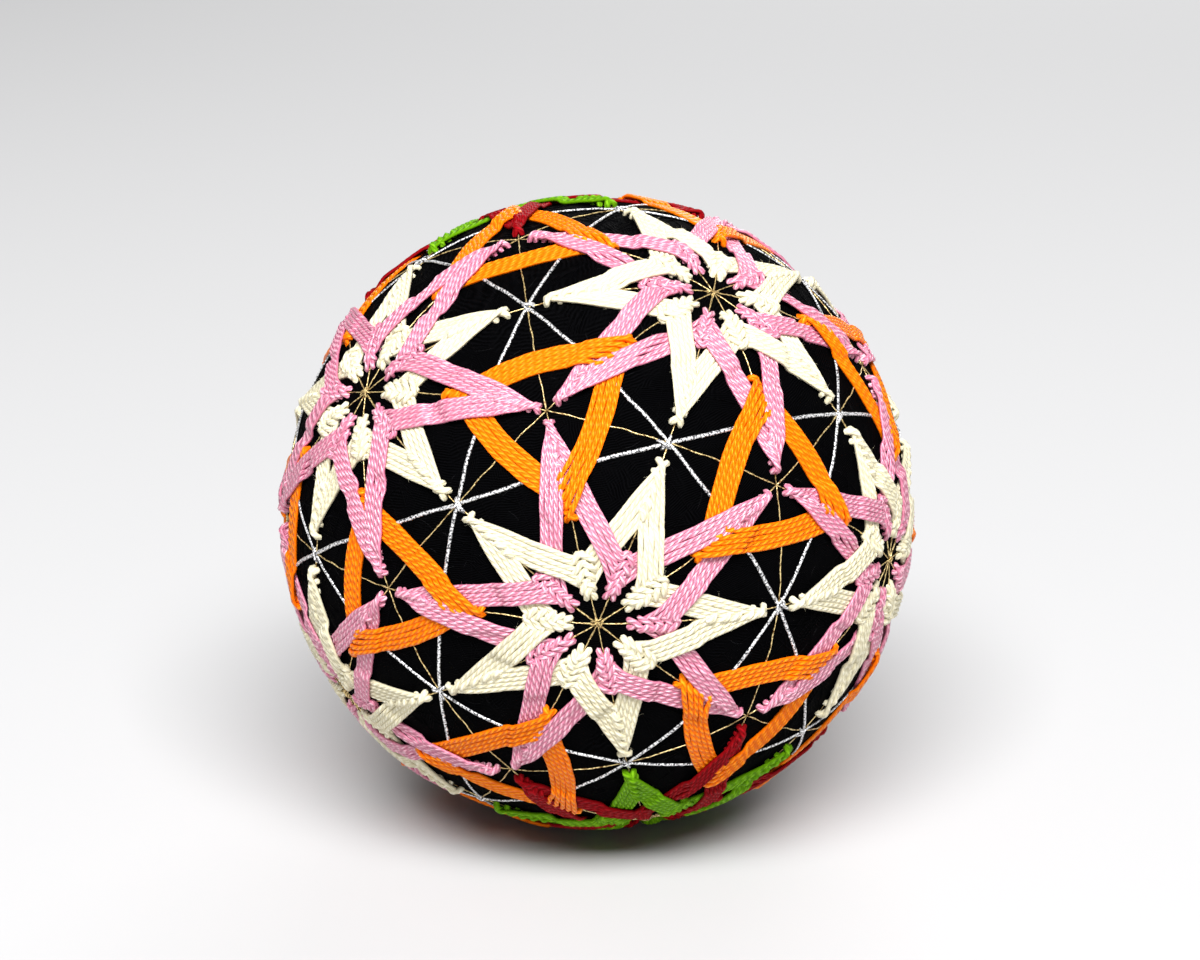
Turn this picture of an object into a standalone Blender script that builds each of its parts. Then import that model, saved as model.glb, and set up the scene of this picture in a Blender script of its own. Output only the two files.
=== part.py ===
"""A temari ball: a ball wound with black thread, dressed in stitched bands of thread.

Twelve centres are spread over the ball like the corners of an icosahedron. Round each lie two
five-pointed stars, one cream (green at the two poles) and one pink (crimson at the poles), which
weave over and under each other. Round each of the twenty three-way points lies an orange triangle,
woven over and under the pink stars. Every star and triangle is one closed ring of five threads laid
side by side, made here as one flat band that follows the ball. The single threads, the stitches and
the metallic guide lines are finer than these solids.

Metres, +Z up. The floor is z = 0, and the ball's middle stands above the origin.
"""

import bmesh
import bpy
import numpy as np

# Sizes of the ball, in metres
WRAP_RADIUS = 0.0442
BAND_THICKNESS = 0.00055
GAP = 0.0003
BALL_CLEARANCE = 0.0004
LIFT = BAND_THICKNESS + GAP
BAND_RADIUS = WRAP_RADIUS + BAND_THICKNESS

# Where the ball rests its underside is pressed flat, and the crossings there are pressed into it:
# distances from the spot's middle at which each of these starts to fade and has faded away
PRESSED_FLAT = (0.0085, 0.0145)
SUNK_CROSSINGS = (0.014, 0.018)
SUNK_BALL = (0.018, 0.023)

# How the pattern is turned, in degrees: the top centre leans left and back, then the rings spin
LEAN_BACK = -27.2
LEAN_LEFT = -12.5
SPIN = 11.5
RING_LATITUDE = np.degrees(np.arctan(0.5))

# Centres that sit a little off their even places, in degrees east and north on the unturned ball
CENTRE_SHIFTS = {
    "top": (-2.9, 1.2),
    "upper_4": (0.0, -2.8),
    "upper_5": (1.3, 0.7),
    "lower_3": (-1.2, 1.6),
    "lower_4": (0.3, 0.0),
    "lower_5": (-0.4, 3.2),
    "bottom": (-2.2, -4.1),
}

# Distances from a star's or triangle's middle to its first and last thread, in degrees on an evenly
# divided ball: near at a star's inner corners and a triangle's mid-sides, far at their tips. Each
# is stretched with the line it lies on, from a centre to a two-way or three-way point.
CREAM_STAR = {"near": (6.5, 12.4), "far": (18.6, 28.9)}
PINK_STAR = {"near": (6.6, 13.2), "far": (29.3, 36.5)}
TRIANGLE = {"near": (6.6, 10.9), "far": (13.2, 18.3)}
EVEN_TWO_WAY = 90.0 - np.degrees(np.arctan((1.0 + 5.0**0.5) / 2.0))
EVEN_THREE_WAY = np.degrees(np.arctan(3.0 - 5.0**0.5))
EVEN_TWO_TO_THREE = np.degrees(np.arctan((3.0 - 5.0**0.5) / 2.0))

# Along a band, in degrees: half a thread's width, the slope up to a crossing, the room beside the
# band below, and the longest flat step that still follows the ball
HALF_THREAD = 0.45
RAMP = 1.3
SIDE_CLEARANCE = 0.5
LONGEST_STEP = 9.0

COLORS = {
    "black_wrap": (0.006, 0.006, 0.007, 1.0),
    "cream_thread": (0.88, 0.83, 0.66, 1.0),
    "green_thread": (0.16, 0.42, 0.01, 1.0),
    "pink_thread": (0.86, 0.34, 0.52, 1.0),
    "crimson_thread": (0.36, 0.002, 0.015, 1.0),
    "orange_thread": (1.0, 0.24, 0.005, 1.0),
}


def unit(vector):
    """The vector at length one, along its last axis."""
    return vector / np.linalg.norm(vector, axis=-1, keepdims=True)


def turn(axis, degrees):
    """The matrix of a right-hand turn about one of the three axes."""
    c, s = np.cos(np.radians(degrees)), np.sin(np.radians(degrees))
    first, second = (axis + 1) % 3, (axis + 2) % 3
    matrix = np.eye(3)
    matrix[first, first] = matrix[second, second] = c
    matrix[first, second], matrix[second, first] = -s, s
    return matrix


def faded(reach, start, end):
    """One up to the start, none from the end on, and a smooth slope between them."""
    part = np.clip((end - reach) / (end - start), 0.0, 1.0)
    return part * part * (3.0 - 2.0 * part)


def star_centres():
    """Names and directions of the twelve centres: two poles and two rings of five between them."""
    places = {"top": (90.0, 0.0)}
    places.update({f"upper_{k + 1}": (RING_LATITUDE, 72.0 * k) for k in range(5)})
    places.update({f"lower_{k + 1}": (-RING_LATITUDE, 36.0 + 72.0 * k) for k in range(5)})
    places["bottom"] = (-90.0, 0.0)
    turned = turn(0, LEAN_BACK) @ turn(1, LEAN_LEFT) @ turn(2, SPIN)
    centres = []
    for name, (latitude, longitude) in places.items():
        lat, lon = np.radians(latitude), np.radians(longitude)
        out = np.array([np.cos(lat) * np.cos(lon), np.cos(lat) * np.sin(lon), np.sin(lat)])
        east = np.array([-np.sin(lon), np.cos(lon), 0.0])
        north = np.cross(out, east)
        shift = np.tan(np.radians(CENTRE_SHIFTS.get(name, (0.0, 0.0))))
        centres.append(turned @ unit(out + shift[0] * east + shift[1] * north))
    return list(places), np.array(centres)


def neighbours(centres, i):
    """The five centres round centre i, anticlockwise seen from outside."""
    near = [j for j in range(len(centres)) if j != i and centres[i] @ centres[j] > 0.2]
    ahead = unit(np.cross(centres[i], centres[near[0]]))
    across = np.cross(centres[i], ahead)
    return sorted(near, key=lambda j: np.arctan2(centres[j] @ across, centres[j] @ ahead))


def on_line(start, towards, sizes, even):
    """A band's first and last edge on the line to another point, whose even length is given."""
    length = np.degrees(np.arccos(start @ towards))
    side = unit(towards - (start @ towards) * start)
    places = np.radians(np.array([sizes[0] - HALF_THREAD, sizes[1] + HALF_THREAD]) * length / even)
    return [start * np.cos(place) + side * np.sin(place) for place in places]


class Edge:
    """One edge of a band between two corners: the arc that a plane cuts from the unit sphere."""

    def __init__(self, start, end, through=None):
        if through is None:
            self.normal = unit(np.cross(start, end))
        else:
            self.normal = unit(np.cross(through - start, end - start))
            if self.normal @ np.cross(start, end) < 0:
                self.normal = -self.normal
        self.offset = self.normal @ start
        hub = self.normal * self.offset
        self.ray = start - hub
        self.side = np.cross(self.normal, self.ray)
        self.sweep = np.arctan2((end - hub) @ self.side, (end - hub) @ self.ray)
        self.degrees = np.degrees(self.sweep * np.linalg.norm(self.ray))

    def at(self, t):
        """Points at parameters t, from 0 at the start to 1 at the end."""
        angle = np.atleast_1d(t)[:, None] * self.sweep
        return self.normal * self.offset + np.cos(angle) * self.ray + np.sin(angle) * self.side

    def meets(self, other, clearance):
        """The parameter where this edge comes within a clearance, in degrees, of another edge."""
        t = np.linspace(-0.5, 1.5, 801)
        beyond = self.at(t) @ other.normal - other.offset - np.radians(clearance)
        swap = np.flatnonzero(np.sign(beyond[:-1]) != np.sign(beyond[1:]))
        middle = swap[np.argmin(np.abs(t[swap] - 0.5))]
        part = beyond[middle] / (beyond[middle] - beyond[middle + 1])
        return t[middle] + part * (t[1] - t[0])


class Arm:
    """One straight stretch of a band, between its first thread's edge and its last thread's."""

    def __init__(self, first, last):
        self.edges = (first, last)
        self.crossings = []

    def pass_over(self, other):
        """This arm lies on top of the other one where they cross."""
        near, far = self.limits(other)
        places = [edge.at([near[k], far[k]]) for k, edge in enumerate(self.edges)]
        place = WRAP_RADIUS * np.mean(places, axis=(0, 1))
        sunk = faded(np.hypot(place[0], place[1]), *SUNK_CROSSINGS) if place[2] < 0.0 else 0.0
        self.crossings.append((other, LIFT * (1.0 - sunk)))
        if sunk > 0.0:
            other.crossings.append((self, -LIFT * sunk))

    def stations(self):
        """Rows of parameters on the first and last edge and a height, from corner to corner."""
        ramp = [RAMP / edge.degrees for edge in self.edges]
        groups = []
        for other, height in self.crossings:
            near, far = self.limits(other)
            before = (near[0] - ramp[0], near[1] - ramp[1], 0.0)
            after = (far[0] + ramp[0], far[1] + ramp[1], 0.0)
            groups.append([before, (*near, height), (*far, height), after])
        rows = [(0.0, 0.0, 0.0)]
        for row in sum(sorted(groups, key=lambda group: group[1][0]), []):
            inside = all(rows[-1][k] < row[k] < 1.0 for k in (0, 1))
            if inside or row[2] != 0.0:
                rows.append(row)
        rows.append((1.0, 1.0, 0.0))
        return self.divided(rows)

    def limits(self, other):
        """Where this arm comes close to another: the parameters on its two edges, then on leaving."""
        middle = unit(other.edges[0].at(0.5) + other.edges[1].at(0.5))[0]
        limits = []
        for edge in other.edges:
            outward = np.sign(edge.offset - middle @ edge.normal)
            limits.append([mine.meets(edge, outward * SIDE_CLEARANCE) for mine in self.edges])
        return sorted(limits, key=sum)

    def divided(self, rows):
        """The same stations with more between any two that lie too far apart to follow the ball."""
        full = [rows[0]]
        for row in rows[1:]:
            reach = max((row[k] - full[-1][k]) * self.edges[k].degrees for k in (0, 1))
            steps = int(np.ceil(reach / LONGEST_STEP))
            before = np.array(full[-1])
            full += [tuple(before + (np.array(row) - before) * s / steps) for s in range(1, steps)]
            full.append(row)
        return full


def star_arms(centre, corners, corner_line, tips, tip_line, sizes):
    """The ten arms of a star, in order round it: corner, tip, corner, tip."""
    ends = []
    for corner, tip in zip(corners, tips):
        ends.append(on_line(centre, corner, sizes["near"], corner_line))
        ends.append(on_line(centre, tip, sizes["far"], tip_line))
    return [Arm(Edge(a[0], b[0]), Edge(a[1], b[1])) for a, b in zip(ends, ends[1:] + ends[:1])]


def triangle_arms(middle, corners, sizes):
    """The three sides of a triangle, each bowed out so that it also passes its mid-side point."""
    arms = []
    for a, b in zip(corners, corners[1:] + corners[:1]):
        start = on_line(middle, a, sizes["far"], EVEN_THREE_WAY)
        end = on_line(middle, b, sizes["far"], EVEN_THREE_WAY)
        mid_side = on_line(middle, unit(a + b), sizes["near"], EVEN_TWO_TO_THREE)
        arms.append(Arm(*[Edge(start[k], end[k], mid_side[k]) for k in (0, 1)]))
    return arms


def pattern():
    """Every band's name, slot and arms, with each arm told which arms it passes over."""
    names, centres = star_centres()
    poles = (names[0], names[-1])
    bands, tip_arms = [], {}
    for i, name in enumerate(names):
        ring = neighbours(centres, i)
        after = ring[1:] + ring[:1]
        two_way = [unit(centres[i] + centres[j]) for j in ring]
        three_way = [unit(centres[i] + centres[j] + centres[k]) for j, k in zip(ring, after)]
        # Pink arms 2k and 2k + 1 meet in tip k, the first one clockwise of it
        lines = (two_way, EVEN_TWO_WAY, three_way, EVEN_THREE_WAY)
        pink = star_arms(centres[i], *lines, PINK_STAR)
        lines = (three_way, EVEN_THREE_WAY, two_way[1:] + two_way[:1], EVEN_TWO_WAY)
        cream = star_arms(centres[i], *lines, CREAM_STAR)
        for k in range(5):
            pink[2 * k].pass_over(cream[(2 * k + 9) % 10])
            cream[2 * k].pass_over(pink[2 * k + 1])
            tip_arms[i, ring[k], after[k]] = (pink[2 * k], pink[2 * k + 1])
        colours = ("green", "crimson") if name in poles else ("cream", "pink")
        bands.append((f"{colours[0]}_star_{name}", f"{colours[0]}_thread", cream))
        bands.append((f"{colours[1]}_star_{name}", f"{colours[1]}_thread", pink))
    number = 0
    for i in range(len(names)):
        ring = neighbours(centres, i)
        for j, k in zip(ring, ring[1:] + ring[:1]):
            if i < min(j, k):
                number += 1
                corners = [i, j, k]
                middle = unit(centres[corners].sum(axis=0))
                sides = triangle_arms(middle, [centres[c] for c in corners], TRIANGLE)
                for s in range(3):
                    # The side that leaves a corner lies over pink, and pink over the one that arrives
                    here, following, previous = corners[s:] + corners[:s]
                    clockwise, anticlockwise = tip_arms[here, following, previous]
                    sides[s].pass_over(clockwise)
                    anticlockwise.pass_over(sides[s - 1])
                bands.append((f"orange_triangle_{number}", "orange_thread", sides))
    return bands


def settled(points):
    """Points round the ball's middle, set on the floor with the ball's underside pressed flat."""
    flat, end = PRESSED_FLAT
    reach = np.where(points[:, 2] < 0.0, np.linalg.norm(points[:, :2], axis=1), end)
    reach = np.minimum(reach, end)
    # Inside the flat the sphere's curve is taken out, then a tighter curve meets it at the end
    slope = end / np.sqrt(BAND_RADIUS**2 - end**2)
    rounded = slope / (end - flat) * np.maximum(reach - flat, 0.0) ** 2 / 2
    height = points[:, 2] + BAND_RADIUS - rise(reach) + rounded
    return np.column_stack([points[:, :2], height])


def rise(reach):
    """How far a sphere of the bands' size rises from its lowest point, at a distance from it."""
    return BAND_RADIUS - np.sqrt(BAND_RADIUS**2 - reach**2)


def ring_mesh(name, arms):
    """A closed band: four points at each station, the first edge's two and the last edge's two."""
    corners = []
    for arm in arms:
        for first, last, height in arm.stations()[:-1]:
            a, b = arm.edges[0].at(first)[0], arm.edges[1].at(last)[0]
            low, high = WRAP_RADIUS + height, WRAP_RADIUS + height + BAND_THICKNESS
            corners.append((a * low, a * high, b * high, b * low))
    points = settled(np.array(corners).reshape(-1, 3))
    mesh = bmesh.new()
    verts = [mesh.verts.new(p) for p in points]
    loops = [verts[k : k + 4] for k in range(0, len(verts), 4)]
    for here, following in zip(loops, loops[1:] + loops[:1]):
        for k in range(4):
            mesh.faces.new((here[k], here[(k + 1) % 4], following[(k + 1) % 4], following[k]))
    bmesh.ops.recalc_face_normals(mesh, faces=mesh.faces)
    bmesh.ops.triangulate(mesh, faces=mesh.faces)
    data = bpy.data.meshes.new(name)
    mesh.to_mesh(data)
    mesh.free()
    return data


def ball_mesh(name):
    """The wound ball: a sphere of small faces, pressed flat underneath."""
    mesh = bmesh.new()
    bmesh.ops.create_icosphere(mesh, subdivisions=4, radius=WRAP_RADIUS - BALL_CLEARANCE)
    points = np.array([v.co for v in mesh.verts])
    below = np.where(points[:, 2] < 0.0, faded(np.linalg.norm(points[:, :2], axis=1), *SUNK_BALL), 0.0)
    points = settled(points - unit(points) * LIFT * below[:, None])
    for vert, point in zip(mesh.verts, points):
        vert.co = point
    data = bpy.data.meshes.new(name)
    mesh.to_mesh(data)
    mesh.free()
    data.shade_smooth()
    return data


def thread_material(slot):
    """A plain matte finish in the thread's colour."""
    material = bpy.data.materials.new(slot)
    material.use_nodes = True
    shader = material.node_tree.nodes["Principled BSDF"]
    shader.inputs["Base Color"].default_value = COLORS[slot]
    shader.inputs["Roughness"].default_value = 0.75
    shader.inputs["Metallic"].default_value = 0.0
    return material


for old in list(bpy.data.objects):
    bpy.data.objects.remove(old)
collection = bpy.data.collections.new("temari_ball")
bpy.context.scene.collection.children.link(collection)
materials = {slot: thread_material(slot) for slot in COLORS}
pieces = [("ball", "black_wrap", ball_mesh("ball"))]
pieces += [(name, slot, ring_mesh(name, arms)) for name, slot, arms in pattern()]
for name, slot, data in pieces:
    data.materials.append(materials[slot])
    collection.objects.link(bpy.data.objects.new(name, data))
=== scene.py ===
import bpy
import numpy as np
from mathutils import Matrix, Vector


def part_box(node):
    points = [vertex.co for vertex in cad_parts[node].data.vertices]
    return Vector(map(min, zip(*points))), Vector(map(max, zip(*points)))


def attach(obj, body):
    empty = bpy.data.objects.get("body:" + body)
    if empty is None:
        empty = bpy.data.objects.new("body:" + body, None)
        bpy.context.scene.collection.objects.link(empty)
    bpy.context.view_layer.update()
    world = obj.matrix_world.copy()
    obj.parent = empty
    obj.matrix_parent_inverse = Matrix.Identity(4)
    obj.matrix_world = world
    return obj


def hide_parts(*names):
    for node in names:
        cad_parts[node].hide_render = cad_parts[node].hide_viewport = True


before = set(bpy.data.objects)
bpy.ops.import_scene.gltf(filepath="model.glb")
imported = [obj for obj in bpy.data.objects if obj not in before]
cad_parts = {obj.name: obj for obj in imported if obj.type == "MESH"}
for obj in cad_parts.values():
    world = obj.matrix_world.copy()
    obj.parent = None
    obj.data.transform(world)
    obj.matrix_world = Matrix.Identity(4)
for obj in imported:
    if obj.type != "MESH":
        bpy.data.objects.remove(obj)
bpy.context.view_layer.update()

# The camera. It looks down at the ball from the front, from eight times the ball's radius away,
# with the ball a little left of the picture's middle and below it.
IMAGE_WIDTH, IMAGE_HEIGHT = 1200, 960
SENSOR_WIDTH = 36.0
FOCAL_LENGTH_PIXELS = 2460.0
BALL_PIXEL = (597.0, 511.5)
LOOK_DOWN = np.radians(18.0)
WRAP_ROOM = 0.0004
ball_low, ball_high = (np.array(corner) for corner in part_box("ball"))
WRAP_RADIUS = (ball_high[0] - ball_low[0]) / 2 + WRAP_ROOM
BALL_HEIGHT = ball_high[2] + WRAP_ROOM - WRAP_RADIUS
CAMERA_DISTANCE = 8.0 * WRAP_RADIUS


def unit(vector):
    """The vector divided by its length, along the last axis."""
    return vector / np.linalg.norm(vector, axis=-1, keepdims=True)


def put_in_scene(name, data):
    """A new object made of a mesh, lamp or camera, linked to the scene."""
    item = bpy.data.objects.new(name, data)
    bpy.context.scene.collection.objects.link(item)
    return item


rightward, upward = BALL_PIXEL[0] - IMAGE_WIDTH / 2, IMAGE_HEIGHT / 2 - BALL_PIXEL[1]
to_ball = unit(np.array([rightward, upward, -FOCAL_LENGTH_PIXELS]))
camera_axes = np.array(
    [
        [1.0, 0.0, 0.0],
        [0.0, np.sin(LOOK_DOWN), np.cos(LOOK_DOWN)],
        [0.0, -np.cos(LOOK_DOWN), np.sin(LOOK_DOWN)],
    ]
)
camera_data = bpy.data.cameras.new("camera")
camera_data.sensor_width = SENSOR_WIDTH
camera_data.lens = FOCAL_LENGTH_PIXELS * SENSOR_WIDTH / IMAGE_WIDTH
camera_data.clip_start = 0.01
camera = put_in_scene("camera", camera_data)
camera.location = np.array([0.0, 0.0, BALL_HEIGHT]) - CAMERA_DISTANCE * to_ball @ camera_axes
camera.rotation_euler = (np.pi / 2 - LOOK_DOWN, 0.0, 0.0)
bpy.context.scene.camera = camera


# The wound ball. A soft core is wound in every direction with fine black sewing thread, until the
# threads hide it and lie in a dense, faintly furry felt. It is pressed flat where it lies.
BAND_THICKNESS = 0.00055
BAND_RADIUS = WRAP_RADIUS + BAND_THICKNESS
PRESSED_FLAT = (0.0085, 0.0145)
SUNK_BALL = (0.018, 0.023)
SUNK_DEPTH = 0.00085
BALL_STEPS = (152, 76)
BALL_UNEVENNESS = 0.00006
BALL_WAVES = 6
BALL_WAVE_RATES = (4.0, 13.0)
POLE_TILT = 89.6
WRAP_DIRECTIONS = [(20, 50, 0), (75, -35, 40), (-40, 10, 80), (120, 60, -30), (0, 100, 15)]
# The wrap's black, darker where its surface lies low and lighter where it stands high: painted shade
WRAP_BLACKS = [(0.0003, 0.0003, 0.0004, 1.0), (0.0016, 0.0016, 0.0020, 1.0)]
LINT_GREY = (0.06, 0.06, 0.065, 1.0)
WINDINGS = 120
WINDING_STEPS = 60
WINDING_RADIUS = 0.00010
WINDING_REST = 0.3 * WINDING_RADIUS
WINDING_SHIFT = 0.25
WINDING_WAVE = 0.004
WINDING_WAVE_COUNTS = (2, 6)
WINDING_TONE = 0.01
STRAY_FIBRES = 600
STRAY_LENGTH = (0.0008, 0.0026)
STRAY_LIFT = (0.00002, 0.00028)
STRAY_CURL = 0.8
STRAY_STEPS = 5
STRAY_RADIUS = 0.000011
STRAY_TONE = 0.5
ROUND_SECTION = [(30, 1.0), (150, 1.0), (270, 1.0)]
UNTWISTED = {"oval": 0.0, "length": 1.0}
END_THINNING = 0.6
MM_IN_METRE = 1000.0
ANY_PHASE = (0.0, 6.3)
chance = np.random.default_rng(7)


def faded(distance, start, end):
    """One up to the start, none from the end on, with the cubic 3p^2 - 2p^3 between them."""
    part = np.clip((end - distance) / (end - start), 0.0, 1.0)
    return part * part * (3.0 - 2.0 * part)


def settled(points):
    """Points round the ball's middle, set on the floor. Inside the flat the sphere's rise is taken
    out; from there to the flat's end a parabola meets the sphere at the sphere's own slope. What
    would still reach lower is pressed up to the floor."""
    flat, end = PRESSED_FLAT
    reach = np.where(points[..., 2] < 0.0, np.hypot(points[..., 0], points[..., 1]), end)
    reach = np.minimum(reach, end)
    rise = BAND_RADIUS - np.sqrt(BAND_RADIUS**2 - reach**2)
    slope = end / np.sqrt(BAND_RADIUS**2 - end**2)
    rounded = slope / (end - flat) * np.maximum(reach - flat, 0.0) ** 2 / 2
    height = np.maximum(points[..., 2] + BAND_RADIUS - rise + rounded, 0.0)
    return np.stack([points[..., 0], points[..., 1], height], axis=-1)


def below(points, start, end):
    """How far points on the ball's underside lie inside a circle round the spot where it rests."""
    reach = np.hypot(points[..., 0], points[..., 1])
    return np.where(points[..., 2] < 0.0, faded(reach, start, end), 0.0)


def sunk_in(paths):
    """Paths moved in towards the ball's middle near the spot where it rests, by the sunk depth."""
    return paths * (1.0 - SUNK_DEPTH / WRAP_RADIUS * below(paths, *SUNK_BALL))[..., None]


def grid_faces(count, stations, columns):
    """Faces of closed tubes whose points are numbered by tube, station and column: a quad between
    every two neighbours each way round, and one flat cap over each tube's two end rings."""
    numbers = np.arange(count * stations * columns).reshape(count, stations, columns)
    turned = np.roll(numbers, -1, axis=2)
    rings = [numbers[:, :-1], numbers[:, 1:], turned[:, 1:], turned[:, :-1]]
    quads = np.stack(rings, axis=-1).reshape(-1, 4)
    return quads, np.concatenate([numbers[:, 0], numbers[:, -1, ::-1]])


def grid_uv(lengths, turns):
    """For each face of grid_faces, its corners' place round the tube, in turns from the columns'
    own, and along it, in millimetres."""
    count, stations = lengths.shape
    left = np.broadcast_to(turns, (count, stations - 1, len(turns)))
    right = np.broadcast_to(np.append(turns[1:], turns[0] + 1.0), left.shape)
    start = np.broadcast_to(lengths[:, :-1, None], left.shape) * MM_IN_METRE
    end = np.broadcast_to(lengths[:, 1:, None], left.shape) * MM_IN_METRE
    corners = [(left, start), (left, end), (right, end), (right, start)]
    quads = np.stack([np.stack(corner, axis=-1) for corner in corners], axis=-2).reshape(-1, 2)
    ends = np.concatenate([lengths[:, 0], lengths[:, -1]]) * MM_IN_METRE
    ends = np.repeat(ends, len(turns))
    return quads, np.stack([np.full(len(ends), 0.5), ends], axis=-1)


def tube_points(paths, radii, section, twist):
    """Rings round each path on the ball, their points at the section's angles and reaches. The
    reach swells by the twist's oval at two sides, and the oval turns once in the twist's length.
    Sideways is square to the path and to the ball's outward direction."""
    ahead = unit(np.gradient(paths, axis=1))
    outward = unit(paths)
    sideways = unit(np.cross(ahead, outward))
    upward = np.cross(sideways, ahead)
    steps = np.linalg.norm(np.diff(paths, axis=1), axis=-1)
    lengths = np.concatenate([np.zeros((len(paths), 1)), np.cumsum(steps, axis=1)], axis=1)
    lengths += chance.uniform(0.0, twist["length"], (len(paths), 1))
    angles, reaches = np.array(section, dtype=float).T
    angles = np.radians(angles)
    turned = 2.0 * np.pi * (lengths / twist["length"])[..., None]
    reach = reaches * radii[..., None] * (1.0 + twist["oval"] * np.cos(2.0 * (angles - turned)))
    across = (reach * np.cos(angles))[..., None] * sideways[:, :, None]
    raised = (reach * np.sin(angles))[..., None] * upward[:, :, None]
    return paths[:, :, None] + across + raised, lengths


def joined(parts):
    """One set of points, faces, UV places and tones out of several, with the faces' point numbers
    moved up by the points that come before."""
    moved, faces, start = [], [], 0
    for points, own_faces, _, _ in parts:
        faces += [rows + start for rows in own_faces]
        moved.append(points.reshape(-1, 3))
        start += len(moved[-1])
    uvs = [uv for part in parts for uv in part[2]]
    tones = np.concatenate([np.broadcast_to(part[3], part[0].shape[:-1]).ravel() for part in parts])
    return np.concatenate(moved), faces, uvs, tones


def new_piece(name, parts, material):
    """One mesh object out of parts, each (points, faces, UV places, tone), riding on the part."""
    points, faces, uvs, tones = joined(parts)
    corners = np.concatenate([rows.ravel() for rows in faces])
    counts = np.concatenate([np.full(len(rows), rows.shape[1]) for rows in faces])
    mesh = bpy.data.meshes.new(name)
    mesh.vertices.add(len(points))
    mesh.vertices.foreach_set("co", points.ravel())
    mesh.loops.add(len(corners))
    mesh.polygons.add(len(counts))
    mesh.polygons.foreach_set("loop_start", np.cumsum(counts) - counts)
    mesh.polygons.foreach_set("vertices", corners)
    mesh.update(calc_edges=True)
    strand = mesh.uv_layers.new(name="strand")
    strand.uv.foreach_set("vector", np.concatenate(uvs).ravel().astype(np.float32))
    tone = mesh.attributes.new("tone", "FLOAT", "POINT")
    tone.data.foreach_set("value", tones.astype(np.float32))
    mesh.shade_smooth()
    mesh.materials.append(material)
    piece = put_in_scene(name, mesh)
    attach(piece, "root")
    return piece


def tubes(paths, radii, section, twist, tone):
    """A part for new_piece: closed tubes along paths round the ball's middle, set on the floor."""
    points, lengths = tube_points(paths, radii, section, twist)
    tones = np.broadcast_to(tone[:, None, None], points.shape[:-1])
    turns = np.array(section)[:, 0] / 360.0
    return settled(points), grid_faces(*points.shape[:-1]), grid_uv(lengths, turns), tones


def even_tubes(paths, radius, section, twist, tone):
    """Tubes of one radius and tone, their ends a little thinner."""
    radii = np.full(paths.shape[:2], radius)
    radii[:, [0, -1]] *= END_THINNING
    return tubes(paths, radii, section, twist, np.full(len(paths), tone))


def add_nodes(tree, **kinds):
    """New nodes in a tree, by name and kind."""
    return {name: tree.nodes.new(kind) for name, kind in kinds.items()}


def link_nodes(tree, nodes, links):
    """Links between named nodes, each from one node's output to another's input."""
    for here, output, there, target in links:
        tree.links.new(nodes[here].outputs[output], nodes[there].inputs[target])


def set_inputs(nodes, values):
    """Values of named nodes' unlinked inputs, each row a node, an input and its value."""
    for name, socket, value in values:
        nodes[name].inputs[socket].default_value = value


def new_material(name):
    """A new material, with its node tree and the shader in it."""
    material = bpy.data.materials.new(name)
    material.use_nodes = True
    return material, material.node_tree, material.node_tree.nodes["Principled BSDF"]


def wrap_material():
    """Black matte felt of fine threads: bands of threads in five directions, mixed by large noise,
    raise the surface and paint shade into it, the black darker where it lies low, and short fibres
    in it catch a little light."""
    material, tree, shader = new_material("black_wrap")
    place = tree.nodes.new("ShaderNodeTexCoord")
    height = None
    for k, turned in enumerate(WRAP_DIRECTIONS):
        new = add_nodes(tree, turn="ShaderNodeMapping", wave="ShaderNodeTexWave")
        values = [
            ("turn", "Rotation", np.radians(turned)),
            ("wave", "Scale", 1250.0),
            ("wave", "Distortion", 6.0),
            ("wave", "Detail Scale", 0.4),
        ]
        set_inputs(new, values)
        tree.links.new(place.outputs["Object"], new["turn"].inputs["Vector"])
        tree.links.new(new["turn"].outputs["Vector"], new["wave"].inputs["Vector"])
        if height is None:
            height = new["wave"].outputs["Fac"]
            continue
        mixed = {"patch": "ShaderNodeTexNoise", "part": "ShaderNodeMapRange", "mix": "ShaderNodeMix"}
        new.update(add_nodes(tree, **mixed))
        values = [
            ("patch", "Scale", 150.0 + 20.0 * k),
            ("part", "From Min", 0.44),
            ("part", "From Max", 0.56),
        ]
        set_inputs(new, values)
        links = [
            ("turn", "Vector", "patch", "Vector"),
            ("patch", "Fac", "part", "Value"),
            ("part", "Result", "mix", "Factor"),
            ("wave", "Fac", "mix", "B"),
        ]
        link_nodes(tree, new, links)
        tree.links.new(height, new["mix"].inputs["A"])
        height = new["mix"].outputs["Result"]
    new = add_nodes(
        tree,
        bump="ShaderNodeBump",
        tint="ShaderNodeValToRGB",
        tone="ShaderNodeAttribute",
        lint="ShaderNodeMix",
        rough="ShaderNodeMapRange",
    )
    new["shader"] = shader
    for stop, black in zip(new["tint"].color_ramp.elements, WRAP_BLACKS):
        stop.color = black
    new["tone"].attribute_name = "tone"
    new["lint"].data_type = "RGBA"
    values = [
        ("shader", "Specular IOR Level", 0.01),
        ("bump", "Distance", 0.00012),
        ("bump", "Strength", 0.9),
        ("lint", "B", LINT_GREY),
        ("rough", "To Min", 0.85),
        ("rough", "To Max", 0.65),
    ]
    set_inputs(new, values)
    # Painted shade: the height also picks the black, darker where it is low
    for node, socket in (("bump", "Height"), ("tint", "Fac"), ("rough", "Value")):
        tree.links.new(height, new[node].inputs[socket])
    links = [
        ("tint", "Color", "lint", "A"),
        ("tone", "Fac", "lint", "Factor"),
        ("lint", "Result", "shader", "Base Color"),
        ("rough", "Result", "shader", "Roughness"),
        ("bump", "Normal", "shader", "Normal"),
    ]
    link_nodes(tree, new, links)
    return material


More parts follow.
